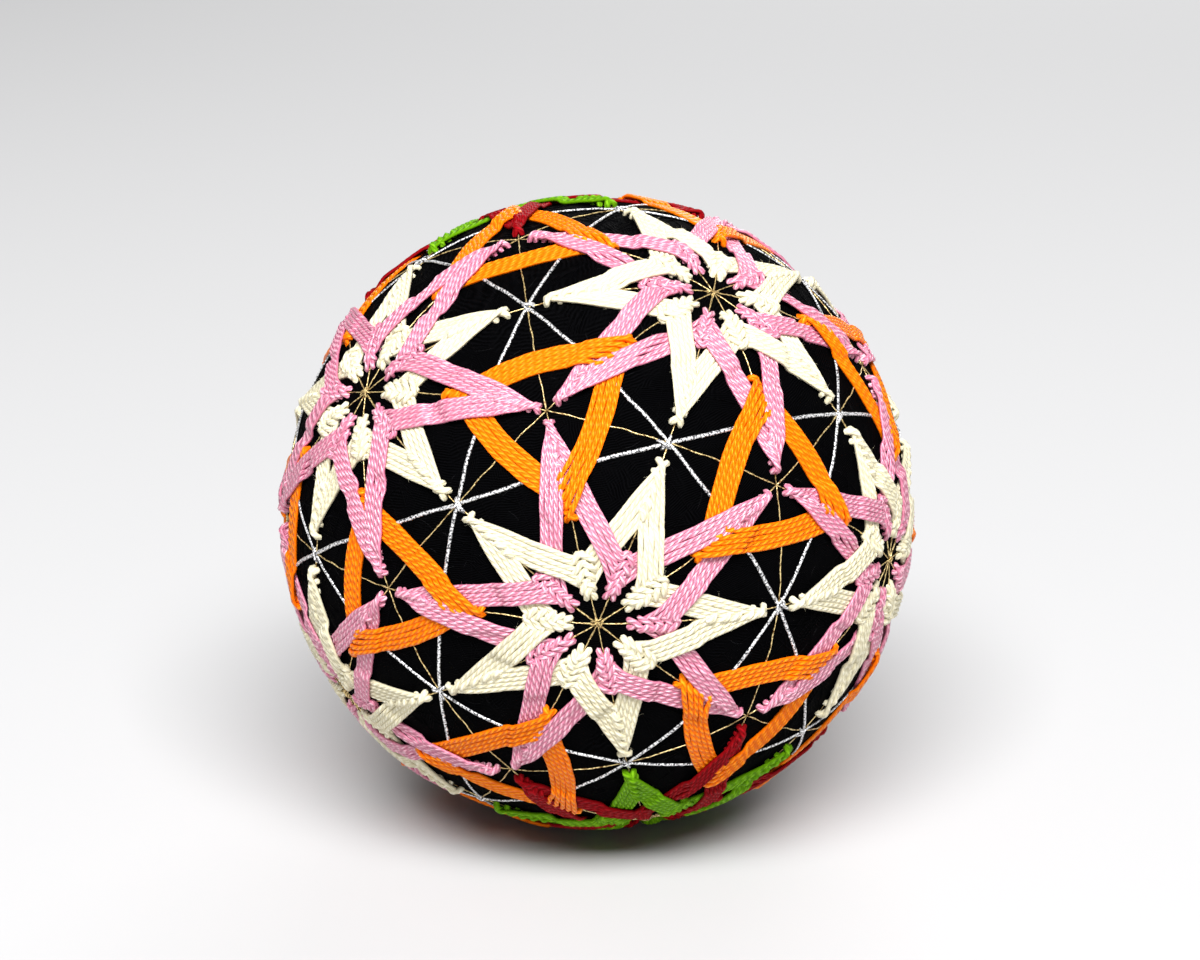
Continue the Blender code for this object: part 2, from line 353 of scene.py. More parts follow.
def felt_sphere(around, upward):
    """The ball's own surface: rings of latitude of the wrap's radius, slightly uneven by a sum of
    slow waves in x, y and z, and sunk a little near the spot where it rests."""
    tilt = np.radians(np.linspace(POLE_TILT, -POLE_TILT, upward))[:, None]
    angle = np.linspace(0.0, 2.0 * np.pi, around, endpoint=False)[None, :]
    flat = np.broadcast_to(np.sin(tilt), (upward, around))
    outward = np.stack([np.cos(tilt) * np.cos(angle), np.cos(tilt) * np.sin(angle), flat], axis=-1)
    rates = chance.uniform(*BALL_WAVE_RATES, (BALL_WAVES, 3))
    waves = rates * chance.choice([-1.0, 1.0], (BALL_WAVES, 3))
    phases = chance.uniform(*ANY_PHASE, BALL_WAVES)
    uneven = np.sin(outward @ waves.T + phases).mean(axis=-1)
    radius = WRAP_RADIUS + BALL_UNEVENNESS * uneven
    radius -= SUNK_DEPTH * below(outward * WRAP_RADIUS, *SUNK_BALL)
    points = (outward * radius[..., None])[None]
    turns = np.arange(around) / around
    return settled(points), grid_faces(1, upward, around), grid_uv(tilt.T * WRAP_RADIUS, turns), 0.0


def winding_paths():
    """Loops of the wrapping thread that lie on top: circles just inside the ball's own greatest
    ones, each in a plane turned and shifted at random, with a slow wave across it."""
    normal = unit(chance.normal(size=(WINDINGS, 3)))
    first = unit(np.cross(normal, unit(chance.normal(size=(WINDINGS, 3)))))
    second = np.cross(normal, first)
    angle = np.linspace(0.0, 2.0 * np.pi, WINDING_STEPS)[None, :, None]
    shift = chance.uniform(-WINDING_SHIFT, WINDING_SHIFT, (WINDINGS, 1, 1)) * np.ones_like(angle)
    circle = np.cos(angle) * first[:, None] + np.sin(angle) * second[:, None]
    counts = chance.integers(*WINDING_WAVE_COUNTS, (WINDINGS, 1, 1))
    wave = WINDING_WAVE * np.sin(angle * counts)
    place = circle * np.sqrt(1.0 - shift**2) + normal[:, None] * (shift + wave)
    return sunk_in(unit(place) * (WRAP_RADIUS + WINDING_REST))


def stray_paths():
    """Short curved fibres that lie loosely on the wrap, their middles lifted off it."""
    start = unit(chance.normal(size=(STRAY_FIBRES, 3)))
    heading = unit(np.cross(start, chance.normal(size=(STRAY_FIBRES, 3))))
    bend = np.cross(start, heading)
    length = chance.uniform(*STRAY_LENGTH, (STRAY_FIBRES, 1, 1)) / WRAP_RADIUS
    step = np.linspace(0.0, 1.0, STRAY_STEPS)[None, :, None]
    curl = chance.uniform(-STRAY_CURL, STRAY_CURL, (STRAY_FIBRES, 1, 1))
    place = start[:, None] + length * (step * heading[:, None] + curl * step**2 * bend[:, None])
    lift = chance.uniform(*STRAY_LIFT, (STRAY_FIBRES, 1, 1)) * np.sin(np.pi * step)
    return sunk_in(unit(place) * (WRAP_RADIUS + lift))


windings = winding_paths()
strays = stray_paths()
ball = new_piece(
    "wound_ball",
    [
        felt_sphere(*BALL_STEPS),
        even_tubes(windings, WINDING_RADIUS, ROUND_SECTION, UNTWISTED, WINDING_TONE),
        even_tubes(strays, STRAY_RADIUS, ROUND_SECTION, UNTWISTED, STRAY_TONE),
    ],
    wrap_material(),
)
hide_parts("ball")


# The marking threads. Gold metallic thread runs from star centre to star centre and through the
# three-way points, and a thicker silver braid joins the two-way points. Both are laid on the bare
# wrap first, and small crossed stitches tack them down wherever they meet.
STARS = 12
STAR_TIPS = 5
NEIGHBOUR_COSINE = 0.2
LEAN_BACK = -27.2
LEAN_LEFT = -12.5
SPIN = 11.5
RING_LATITUDE = np.degrees(np.arctan(0.5))
CENTRE_SHIFTS = {
    "top": (-2.9, 1.2),
    "upper_4": (0.0, -2.8),
    "upper_5": (1.3, 0.7),
    "lower_3": (-1.2, 1.6),
    "lower_4": (0.3, 0.0),
    "lower_5": (-0.4, 3.2),
    "bottom": (-2.2, -4.1),
}
GOLD_RADIUS = 0.00010
GOLD_REST = 0.8 * GOLD_RADIUS
GOLD_WAVER = 0.00009
GOLD_STEPS = 30
GOLD_TWIST = {"oval": 0.3, "length": 0.0014}
GOLD_SECTION = [(0, 1.0), (90, 1.0), (180, 1.0), (270, 1.0)]
GOLD_TACKS = {"count": 6, "length": 0.0017, "height": 0.0004}
# The gold's dark and bright colours are partly its own and partly painted glint and shade along its
# twist
GOLD_FOIL_AND_GLINT = {
    "dark": (0.14, 0.06, 0.008),
    "bright": (1.0, 0.78, 0.36),
    "metallic": 0.6,
    "roughness": 0.32,
    "glints": 1.8,
}
SILVER_RADIUS = 0.00021
SILVER_REST = 0.7 * SILVER_RADIUS
SILVER_WAVER = 0.00010
SILVER_STEPS = 44
SILVER_TWIST = {"oval": 0.12, "length": 0.0021}
SILVER_SECTION = [(0, 1.25), (55, 0.8), (125, 0.8), (180, 1.25), (270, 0.6)]
SILVER_TACKS = {"count": 3, "length": 0.0022, "height": 0.0005}
SILVER_TACK_RADIUS = 0.8 * SILVER_RADIUS
# The silver's dark and bright colours are partly its own and partly painted glint and shade along its
# twist
SILVER_FOIL_AND_GLINT = {
    "dark": (0.05, 0.05, 0.055),
    "bright": (0.96, 0.96, 0.97),
    "metallic": 0.5,
    "roughness": 0.32,
    "glints": 3.2,
}
LAID_WAVES = (3.0, 9.0)
TACK_STEPS = 7
TACK_OFFSET = 0.12
TACK_HALVES = (0.35, 0.6)
TACK_HEIGHTS = (0.6, 1.1)
TACK_DIVE = 1.6


def turn(axis, degrees):
    """The matrix of a right-hand turn about one of the three axes."""
    c, s = np.cos(np.radians(degrees)), np.sin(np.radians(degrees))
    first, second = (axis + 1) % 3, (axis + 2) % 3
    matrix = np.eye(3)
    matrix[first, first] = matrix[second, second] = c
    matrix[first, second], matrix[second, first] = -s, s
    return matrix


def star_centres():
    """The twelve centres by name: two poles and two rings of five between them, some of them moved
    a few degrees east and north, then all turned as the ball lies."""
    places = {"top": (90.0, 0.0)}
    step = 360.0 / STAR_TIPS
    for ring, latitude, start in (("upper", RING_LATITUDE, 0.0), ("lower", -RING_LATITUDE, step / 2)):
        places.update({f"{ring}_{k + 1}": (latitude, start + step * k) for k in range(STAR_TIPS)})
    places["bottom"] = (-90.0, 0.0)
    lat, lon = np.radians(np.array(list(places.values()))).T
    out = np.stack([np.cos(lat) * np.cos(lon), np.cos(lat) * np.sin(lon), np.sin(lat)], axis=-1)
    east = np.stack([-np.sin(lon), np.cos(lon), np.zeros(STARS)], axis=-1)
    north = np.cross(out, east)
    shift = np.array([CENTRE_SHIFTS.get(name, (0.0, 0.0)) for name in places])
    shift = np.tan(np.radians(shift))
    moved = unit(out + shift[:, :1] * east + shift[:, 1:] * north)
    return list(places), moved @ (turn(0, LEAN_BACK) @ turn(1, LEAN_LEFT) @ turn(2, SPIN)).T


def neighbours(i):
    """The five centres round centre i, anticlockwise seen from outside."""
    near = [j for j in range(STARS) if j != i and centres[i] @ centres[j] > NEIGHBOUR_COSINE]
    ahead = unit(np.cross(centres[i], centres[near[0]]))
    across = np.cross(centres[i], ahead)
    return sorted(near, key=lambda j: np.arctan2(centres[j] @ across, centres[j] @ ahead))


def laid(start, end, steps, radius, waver):
    """Paths on the ball from start to end: points on the straight line between them, pushed out to
    the sphere, with a small sideways waver that dies out at both ends."""
    step = np.linspace(0.0, 1.0, steps)[None, :, None]
    line = unit(start[:, None] * (1.0 - step) + end[:, None] * step)
    side = unit(np.cross(start, end))[:, None]
    waves = chance.uniform(*LAID_WAVES, (len(start), 1, 1))
    phase = chance.uniform(*ANY_PHASE, (len(start), 1, 1))
    push = waver * np.sin(np.pi * step) * np.sin(waves * np.pi * step + phase)
    return sunk_in(unit(line + push / WRAP_RADIUS * side) * radius)


def tacks(middles, count, length, height):
    """Short straight stitches over a crossing, at random angles, that dive in at both ends."""
    middle = np.repeat(middles, count, axis=0)
    heading = unit(np.cross(middle, chance.normal(size=middle.shape)))
    offset = chance.normal(size=middle.shape) * TACK_OFFSET * length / WRAP_RADIUS
    half = chance.uniform(*TACK_HALVES, (len(middle), 1, 1)) * length / WRAP_RADIUS
    step = np.linspace(-1.0, 1.0, TACK_STEPS)[None, :, None]
    place = unit(middle[:, None] + offset[:, None] + half * step * heading[:, None])
    lift = height * chance.uniform(*TACK_HEIGHTS, (len(middle), 1, 1)) * (1.0 - TACK_DIVE * step**4)
    return sunk_in(place * (WRAP_RADIUS + lift))


def set_ramp(node, *stops):
    """A colour ramp's stops, each a position and an opaque colour."""
    for element, (position, colour) in zip(node.color_ramp.elements, stops):
        element.position = position
        element.color = (*colour, 1.0)


def metal_material(name, dark, bright, metallic, roughness, glints):
    """Metallic thread: foil flats along its twist, with duller fibre between them. The colour is bright
    where its bump stands high and dark where it lies low: partly the foil's and fibre's own colours,
    partly painted glint and shade.
    """
    material, tree, shader = new_material(name)
    new = add_nodes(
        tree,
        strand="ShaderNodeUVMap",
        scale="ShaderNodeMapping",
        noise="ShaderNodeTexNoise",
        tint="ShaderNodeValToRGB",
        rough="ShaderNodeMapRange",
        bump="ShaderNodeBump",
    )
    new["shader"] = shader
    new["strand"].uv_map = "strand"
    # Painted glint and shade, as well as the foil's and fibre's colours: bright where the noise and
    # bump are high, dark where they are low
    set_ramp(new["tint"], (0.42, dark), (0.54, bright))
    values = [
        ("shader", "Metallic", metallic),
        ("scale", "Scale", (3.0, glints, 1.0)),
        ("noise", "Scale", 1.0),
        ("noise", "Detail", 3.0),
        ("rough", "To Min", roughness + 0.2),
        ("rough", "To Max", roughness - 0.1),
        ("bump", "Distance", 0.00010),
    ]
    set_inputs(new, values)
    links = [
        ("strand", "UV", "scale", "Vector"),
        ("scale", "Vector", "noise", "Vector"),
        ("noise", "Fac", "tint", "Fac"),
        ("noise", "Fac", "rough", "Value"),
        ("noise", "Fac", "bump", "Height"),
        ("tint", "Color", "shader", "Base Color"),
        ("rough", "Result", "shader", "Roughness"),
        ("bump", "Normal", "shader", "Normal"),
    ]
    link_nodes(tree, new, links)
    return material


names, centres = star_centres()
rings = [neighbours(i) for i in range(STARS)]
pairs = [(i, j) for i in range(STARS) for j in rings[i] if i < j]
triangles = [
    (i, j, k)
    for i in range(STARS)
    for j, k in zip(rings[i], rings[i][1:] + rings[i][:1])
    if i < min(j, k)
]
corner_points = centres[np.array(triangles)]
three_way = unit(corner_points.sum(axis=1))
mid_sides = unit(corner_points + np.roll(corner_points, -1, axis=1))
opposite = np.roll(mid_sides, -1, axis=1)
pair_points = centres[np.array(pairs)]
two_way = unit(pair_points.sum(axis=1))
middles = np.repeat(three_way, 3, axis=0)
gold_start = np.concatenate([pair_points[:, 0], corner_points.reshape(-1, 3), middles])
gold_end = np.concatenate([pair_points[:, 1], middles, opposite.reshape(-1, 3)])
gold_paths = laid(gold_start, gold_end, GOLD_STEPS, WRAP_RADIUS + GOLD_REST, GOLD_WAVER)
new_piece(
    "gold_guide_threads",
    [
        even_tubes(gold_paths, GOLD_RADIUS, GOLD_SECTION, GOLD_TWIST, 0.0),
        even_tubes(tacks(centres, **GOLD_TACKS), GOLD_RADIUS, GOLD_SECTION, GOLD_TWIST, 0.0),
    ],
    metal_material("gold_thread", **GOLD_FOIL_AND_GLINT),
)
silver_paths = laid(
    mid_sides.reshape(-1, 3),
    np.roll(mid_sides, -1, axis=1).reshape(-1, 3),
    SILVER_STEPS,
    WRAP_RADIUS + SILVER_REST,
    SILVER_WAVER,
)
new_piece(
    "silver_guide_braids",
    [
        even_tubes(silver_paths, SILVER_RADIUS, SILVER_SECTION, SILVER_TWIST, 0.0),
        even_tubes(
            tacks(two_way, **SILVER_TACKS), SILVER_TACK_RADIUS, SILVER_SECTION, SILVER_TWIST, 0.0
        ),
    ],
    metal_material("silver_thread", **SILVER_FOIL_AND_GLINT),
)


# The weave. Every star and triangle is five rows of thread. A row runs straight from stitch to
# stitch, crosses the guide thread there and dives into the ball just past it; each row's stitches
# lie over the row before. Sizes are degrees from a star's or triangle's middle, on an even ball.
ROWS = 5
CREAM_STAR = {"near": (6.5, 12.4), "far": (18.6, 27.2)}
PINK_STAR = {"near": (6.6, 13.2), "far": (28.6, 34.0)}
TRIANGLE = {"near": (6.6, 10.9), "far": (11.4, 17.7)}
EVEN_TWO_WAY = 90.0 - np.degrees(np.arctan((1.0 + 5.0**0.5) / 2.0))
EVEN_THREE_WAY = np.degrees(np.arctan(3.0 - 5.0**0.5))
EVEN_TWO_TO_THREE = np.degrees(np.arctan((3.0 - 5.0**0.5) / 2.0))
POLES = ("top", "bottom")
PINK_ON_TOP = "upper_4"
THREAD_WIDTH = 0.00070
STITCH_JITTER = 0.12
CORNER_JITTER = 0.30
SUNK_CROSSINGS = (0.014, 0.018)
LIFT = 0.00056
LIFT_RAMP = (0.0003, 0.0014)
END_RAMP = (0.0018, 0.0030)


def on_line(start, towards, sizes, even):
    """The five rows' places on the line to another point, whose even length is given, each moved
    along it a little at random."""
    length = np.degrees(np.arccos(start @ towards))
    side = unit(towards - (start @ towards) * start)
    places = np.linspace(*sizes, ROWS) + chance.normal(0.0, STITCH_JITTER, ROWS)
    places += chance.normal(0.0, CORNER_JITTER)
    angle = np.radians(places * length / even)[:, None]
    return start * np.cos(angle) + side * np.sin(angle)


class Arm:
    """One stretch of a band: five arcs, each cut from the unit sphere by a plane through its start
    and end and, on a bowed arm, a third point, or else the ball's middle. Ends near the middle of
    its star or triangle are its inner ones."""

    def __init__(self, start, end, through, middle, inner):
        if through is None:
            normal = unit(np.cross(start, end))
        else:
            normal = unit(np.cross(through - start, end - start))
            normal *= np.sign(np.sum(normal * np.cross(start, end), axis=-1, keepdims=True))
        self.normal = normal
        self.offset = np.sum(normal * start, axis=-1)
        self.hub = normal * self.offset[:, None]
        self.ray = start - self.hub
        self.side = np.cross(normal, self.ray)
        arrival = end - self.hub
        opposite, adjacent = (np.sum(arrival * leg, axis=-1) for leg in (self.side, self.ray))
        self.sweep = np.arctan2(opposite, adjacent)
        self.length = self.sweep * np.linalg.norm(self.ray, axis=-1) * WRAP_RADIUS
        # Both ends' stitches lie along guide threads, whose planes close the arm off
        halfway = self.at(np.full((ROWS, 1), 0.5))[ROWS // 2, 0]
        ends = unit(np.cross([start[0], end[0]], [start[-1], end[-1]]))
        self.ends = ends * np.sign(ends @ halfway)[:, None]
        self.middle = middle
        self.inner = inner
        self.covers = []
        self.covered = []

    def at(self, t):
        """Places at parameters t, one row of them for each thread, 0 at its start and 1 at its end:
        the arc's hub, plus its ray times the angle's cosine, plus its side times the sine."""
        angle = (t * self.sweep[:, None])[..., None]
        hub, ray, side = self.hub[:, None], self.ray[:, None], self.side[:, None]
        return hub + np.cos(angle) * ray + np.sin(angle) * side

    def lie_over(self, other):
        """This arm passes on top of the other one where they cross."""
        self.covers.append(other)
        other.covered.append(self)

    def under(self, points):
        """How much this arm lies under points on the unit sphere: one over its threads, and none
        past one ramp beside them and another beyond the guide threads at its two ends."""
        first = points @ self.normal[0] - self.offset[0]
        last = points @ self.normal[-1] - self.offset[-1]
        last_start = self.ray[-1] @ self.normal[0] + self.hub[-1] @ self.normal[0]
        across = np.sign(last_start - self.offset[0])
        outside = np.maximum(-across * first, across * last) * WRAP_RADIUS - THREAD_WIDTH / 2
        beyond = -(points @ self.ends.T).min(axis=-1) * WRAP_RADIUS
        return faded(outside, *LIFT_RAMP) * faded(beyond, *END_RAMP)


def star_arms(centre, corners, corner_line, tips, tip_line, sizes):
    """The ten arms of a star, in order round it: inner corner, tip, inner corner, tip."""
    ends = []
    for corner, tip in zip(corners, tips):
        ends.append(on_line(centre, corner, sizes["near"], corner_line))
        ends.append(on_line(centre, tip, sizes["far"], tip_line))
    after = ends[1:] + ends[:1]
    inner = [(True, False), (False, True)] * STAR_TIPS
    return [Arm(a, b, None, centre, ends_in) for a, b, ends_in in zip(ends, after, inner)]


def triangle_arms(middle, corners, sizes):
    """The three sides of a triangle, each bowed out through its mid-side places."""
    ends = [on_line(middle, corner, sizes["far"], EVEN_THREE_WAY) for corner in corners]
    arms = []
    for k in range(3):
        halfway = unit(corners[k] + corners[(k + 1) % 3])
        through = on_line(middle, halfway, sizes["near"], EVEN_TWO_TO_THREE)
        arms.append(Arm(ends[k], ends[(k + 1) % 3], through, middle, (False, False)))
    return arms


cream_stars, pink_stars, orange_triangles, tip_arms = {}, {}, {}, {}
for i, name in enumerate(names):
    ring = rings[i]
    after = ring[1:] + ring[:1]
    halves = [unit(centres[i] + centres[j]) for j in ring]
    thirds = [unit(centres[i] + centres[j] + centres[k]) for j, k in zip(ring, after)]
    # Pink arms 2k and 2k + 1 meet in tip k, the first one clockwise of it
    pink = star_arms(centres[i], halves, EVEN_TWO_WAY, thirds, EVEN_THREE_WAY, PINK_STAR)
    cream = star_arms(
        centres[i], thirds, EVEN_THREE_WAY, halves[1:] + halves[:1], EVEN_TWO_WAY, CREAM_STAR
    )
    for k in range(STAR_TIPS):
        pink[2 * k].lie_over(cream[2 * k - 1])
        if name == PINK_ON_TOP:
            pink[2 * k + 1].lie_over(cream[2 * k])
        else:
            cream[2 * k].lie_over(pink[2 * k + 1])
        tip_arms[i, ring[k], after[k]] = (pink[2 * k], pink[2 * k + 1])
    cream_stars[name], pink_stars[name] = cream, pink
for number, corners in enumerate(triangles):
    sides = triangle_arms(three_way[number], centres[list(corners)], TRIANGLE)
    for s in range(3):
        # The side that leaves a corner lies over pink, and pink over the one that arrives there
        here, following, previous = corners[s:] + corners[:s]
        clockwise, anticlockwise = tip_arms[here, following, previous]
        if names[here] == PINK_ON_TOP:
            clockwise.lie_over(sides[s])
        else:
            sides[s].lie_over(clockwise)
        anticlockwise.lie_over(sides[s - 1])
        # The leaving side's stitches also reach under the next pink arm's edge
        anticlockwise.lie_over(sides[s])
    orange_triangles[f"orange_triangle_{number + 1}"] = sides


# The threads of one band. Two-ply embroidery cotton lies in rows side by side along each arm. Near
# a star's middle each row's two ends cross over the row before like a plait, and at the tips they
# fork. The cotton is soft, so fine fibres stand off it.
COTTONS = {
    "cream": {
        "radius": 0.00038,
        "pitch": 0.00066,
        "plait_aside": (0.0006, 0.0020),
        "tip_out": 0.0011,
        "tip_aside": (0.0011, 0.0009),
        "spread": 0.00016,
    },
    "pink": {
        "radius": 0.00034,
        "pitch": 0.00059,
        "plait_aside": (0.0006, 0.0014),
        "tip_out": 0.0010,
        "tip_aside": (0.0008, 0.0008),
        "spread": 0.00018,
    },
    "orange": {
        "radius": 0.00037,
        "pitch": 0.00066,
        "tip_out": 0.0008,
        "tip_aside": (0.0009, 0.0010),
        "spread": 0.00016,
    },
}
COTTONS["green"] = dict(COTTONS["cream"])
COTTONS["crimson"] = dict(COTTONS["pink"])
FUR = {
    "cream": {"count": 100, "length": 0.0012},
    "green": {"count": 20, "length": 0.0006},
    "pink": {"count": 24, "length": 0.0008},
    "crimson": {"count": 8, "length": 0.0005},
    "orange": {"count": 6, "length": 0.0005},
}
THREAD_SECTION = [(-25, 1.0), (30, 1.0), (90, 1.0), (150, 1.0), (205, 1.0)]
TWO_PLY = {"oval": 0.06, "length": 0.0023}
THREAD_REST = 0.00022
STEP_LENGTH = 0.00046
HEADING_STEPS = 3
RADIUS_SPREAD = (0.95, 1.05)
TONE_SPREAD = 0.35
PRONG_STEPS = 5
PRONG_SPREAD = (0.88, 1.12)
PRONG_STRAIGHT = 0.9
PLAIT_PRONG = 0.0015
GATHER_LENGTH = {True: 0.0022, False: 0.0034}
CROSS_LIFT = 0.00042
CROSS_WIDTH = 0.0007
PLAIT_LIFT = 0.00040
PLAIT_RAMP = (-0.0002, 0.0006)
PLAIT_SWELL = {"size": 0.20, "past": 0.0006, "ramp": (0.0004, 0.0022)}
TIP_LIFT = 0.00009
TIP_RAMP = (0.0005, 0.004)
TIP_REACH = 0.004
TIP_SWELL = {"size": 0.25, "past": 0.0008, "ramp": (0.0004, 0.0012)}
DIVE = {"length": 0.0004, "depth": 0.0009}
THREAD_END = 0.7
THREAD_WAVER = 0.00004
THREAD_WAVES = (0.4, 1.4)
FIBRE_RADIUS = 0.000013
FIBRE_MARGIN = 4
FIBRE_RISE = (0.2, 1.2)
FIBRE_STRAY = 0.5
FIBRE_REACH = (0.25, 1.0)
FIBRE_ROOT = 3.0
FIBRE_TONE = 0.8
SPIKE_FACES = ((0, 1, 2), (0, 3, 1), (1, 3, 2), (2, 3, 0))
PLY_OFFSET = 0.45
PLY_RADIUS = 0.58
PLY_VALLEY = 0.10
GROOVE_WIDTH = 0.30
GROOVE_FLANK = 0.12
STREAKS_ROUND = 12.0
STREAKS_PER_MM = 1.1
STREAK_RELIEF = 0.12
CROWN_SHARE = 0.6
STREAK_SHARE = 1.5
CROWN_SHIFT = -0.67


def prong(stitch, heading, middle, inner, cotton):
    """Each row's end past its stitch bends from its own heading to a place so far along the guide
    thread and so far beside it: A s + B s^2, with A along the heading. The distances come too."""
    along = unit(middle - np.sum(middle * stitch, axis=-1, keepdims=True) * stitch)
    if inner:
        out, aside = PLAIT_PRONG, np.linspace(*cotton["plait_aside"], ROWS)[:, None]
    else:
        along = -along
        out, aside = cotton["tip_out"], np.linspace(*cotton["tip_aside"], ROWS)[:, None]
    beside = unit(heading - np.sum(heading * along, axis=-1, keepdims=True) * along)
    target = chance.uniform(*PRONG_SPREAD, (ROWS, 1)) * (out * along + aside * beside)
    length = np.linalg.norm(target, axis=-1, keepdims=True)
    s = np.linspace(0.0, 1.0, PRONG_STEPS + 1)[1:]
    first = PRONG_STRAIGHT * length * heading
    offset = first[:, None] * s[:, None] + (target - first)[:, None] * s[:, None] ** 2
    return unit(stitch[:, None] + offset / WRAP_RADIUS), length * s


def gathered(places, to_start, to_end, inner, pitch):
    """Rows drawn in from their stitches to even places side by side about the arm's middle line:
    each place goes towards its even one by what is left of one after both ends' fades."""
    line = places.mean(axis=0)
    sideways = unit(np.cross(np.gradient(line, axis=0), line))
    order = np.sign(np.sum((places[-1] - places[0]) * sideways))
    row = (np.arange(ROWS) - (ROWS - 1) / 2)[:, None, None]
    even = line + order * row * pitch / WRAP_RADIUS * sideways
    waves = chance.uniform(*THREAD_WAVES, (ROWS, 1)) * MM_IN_METRE
    waver = THREAD_WAVER * np.sin(waves * to_start + chance.uniform(*ANY_PHASE, (ROWS, 1)))
    reaches = [GATHER_LENGTH[is_inner] for is_inner in inner]
    loose = faded(to_start, 0.0, reaches[0]) + faded(to_end, 0.0, reaches[1])
    drawn = 1.0 - np.minimum(loose, 1.0)
    drift = (waver / WRAP_RADIUS)[..., None] * sideways
    return unit(places + (even - places) * drawn[..., None] + drift)


def swollen(distance, size, past, ramp):
    """How many times its own radius a thread has where it swells, which is most at a place past its
    stitch: one, plus the size faded out with the distance from that place."""
    return 1.0 + size * faded(np.abs(distance + past), *ramp)


def arm_threads(arm, cotton):
    """The five threads of an arm, as paths and radii. A height is the wrap's, plus one lift where
    the arm lies over another band, plus its own rise near its stitches, over the next arm of the
    ring and the rows before. The rise is left out under another band, and both ends dive in."""
    steps = int(arm.length.mean() / STEP_LENGTH)
    share = np.broadcast_to(np.linspace(0.0, 1.0, steps), (ROWS, steps))
    length = arm.length[:, None]
    rows_at = arm.at(share)
    from_ends = (length * share, length * (1.0 - share))
    places = gathered(rows_at, *from_ends, arm.inner, cotton["pitch"])
    for side, distance, inner in zip(arm.ends, from_ends, arm.inner):
        if not inner:
            push = cotton["spread"] / WRAP_RADIUS * faded(distance, 0.0, TIP_REACH)
            places = places + push[..., None] * side
    places = unit(places)
    backward = unit(rows_at[:, 0] - rows_at[:, HEADING_STEPS])
    forward = unit(rows_at[:, -1] - rows_at[:, -1 - HEADING_STEPS])
    first, before = prong(places[:, 0], backward, arm.middle, arm.inner[0], cotton)
    last, after = prong(places[:, -1], forward, arm.middle, arm.inner[1], cotton)
    places = np.concatenate([first[:, ::-1], places, last], axis=1)
    to_start = np.concatenate([-before[:, ::-1], length * share, length + after], axis=1)
    to_end = length - to_start
    # How much the threads are raised over other bands, or sunk between them on the underside
    raised = sum((other.under(places) for other in arm.covers), np.zeros(to_start.shape))
    lowered = sum((other.under(places) for other in arm.covered), np.zeros(to_start.shape))
    sunk = below(places * WRAP_RADIUS, *SUNK_CROSSINGS)
    lift = LIFT * (np.minimum(raised, 1.0) * (1.0 - sunk) - np.minimum(lowered, 1.0) * sunk)
    # How much they rise over their own ring's threads, and where they dive
    rows = np.arange(ROWS)[:, None]
    own = CROSS_LIFT * np.exp(-((to_end / CROSS_WIDTH) ** 2))
    radii = cotton["radius"] * chance.uniform(*RADIUS_SPREAD, (ROWS, 1)) * np.ones(to_start.shape)
    for distance, inner in zip((to_start, to_end), arm.inner):
        if inner:
            own = np.maximum(own, PLAIT_LIFT * (rows > 0) * (1.0 - faded(-distance, *PLAIT_RAMP)))
            radii *= swollen(distance, **PLAIT_SWELL)
        else:
            own += TIP_LIFT * rows * faded(distance, *TIP_RAMP)
            radii *= swollen(distance, **TIP_SWELL)
    own *= 1.0 - np.minimum(lowered, 1.0)
    for distance, past in ((to_start, before), (to_end, after)):
        dive = 1.0 - faded(-distance, past[:, -1:] - DIVE["length"], past[:, -1:])
        own = own * (1.0 - dive) - DIVE["depth"] * dive
    radii[:, [0, -1]] *= THREAD_END
    height = THREAD_REST + lift + own * (1.0 - sunk)
    return places * (WRAP_RADIUS + height)[..., None], radii


def fibres(points, count, length):
    """Fine fibres on a tube's surface: three-sided spikes whose tips stand off it and along it."""
    tube = chance.integers(0, points.shape[0], count)
    station = chance.integers(FIBRE_MARGIN, points.shape[1] - FIBRE_MARGIN, count)
    column = chance.integers(0, points.shape[2], count)
    root = points[tube, station, column]
    middle = points[tube, station].mean(axis=1)
    off = unit(root - middle)
    ahead = unit(points[tube, station + 1].mean(axis=1) - middle)
    ahead *= chance.choice([-1.0, 1.0], (count, 1))
    rising = off * chance.uniform(*FIBRE_RISE, (count, 1))
    heading = unit(rising + ahead + FIBRE_STRAY * chance.normal(size=off.shape))
    tip = heading * chance.uniform(*FIBRE_REACH, (count, 1)) * length
    side = unit(np.cross(heading, off)) * FIBRE_RADIUS
    rise = unit(np.cross(side, heading)) * FIBRE_RADIUS
    base = root - FIBRE_ROOT * FIBRE_RADIUS * off
    ring = [base + side, base - 0.5 * side + rise, base - 0.5 * side - rise]
    spikes = np.stack([*ring, base + tip], axis=1)
    spikes[..., 2] = np.maximum(spikes[..., 2], 0.0)
    numbers = np.arange(count)[:, None] * spikes.shape[1]
    faces = np.concatenate([numbers + np.array(face) for face in SPIKE_FACES])
    return spikes, [faces], [np.tile([0.5, 0.0], (faces.size, 1))], FIBRE_TONE


def band_piece(name, arms, colour):
    """One star or triangle: all its threads and their fibres, in place of its packed band."""
    cotton = COTTONS[colour]
    parts = []
    for arm in arms:
        paths, radii = arm_threads(arm, cotton)
        tone = chance.normal(0.0, TONE_SPREAD, ROWS)
        parts.append(tubes(paths, radii, THREAD_SECTION, TWO_PLY, tone))
        parts.append(fibres(parts[-1][0], **FUR[colour]))
    piece = new_piece(name + "_threads", parts, cotton["material"])
    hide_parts(name)


def worked(tree, operation, *values):
    """What a Math node makes of values that are numbers or other nodes' outputs."""
    node = tree.nodes.new("ShaderNodeMath")
    node.operation = operation
    for socket, value in zip(node.inputs, values):
        if isinstance(value, (int, float)):
            socket.default_value = value
        else:
            tree.links.new(value, socket)
    return node.outputs["Value"]


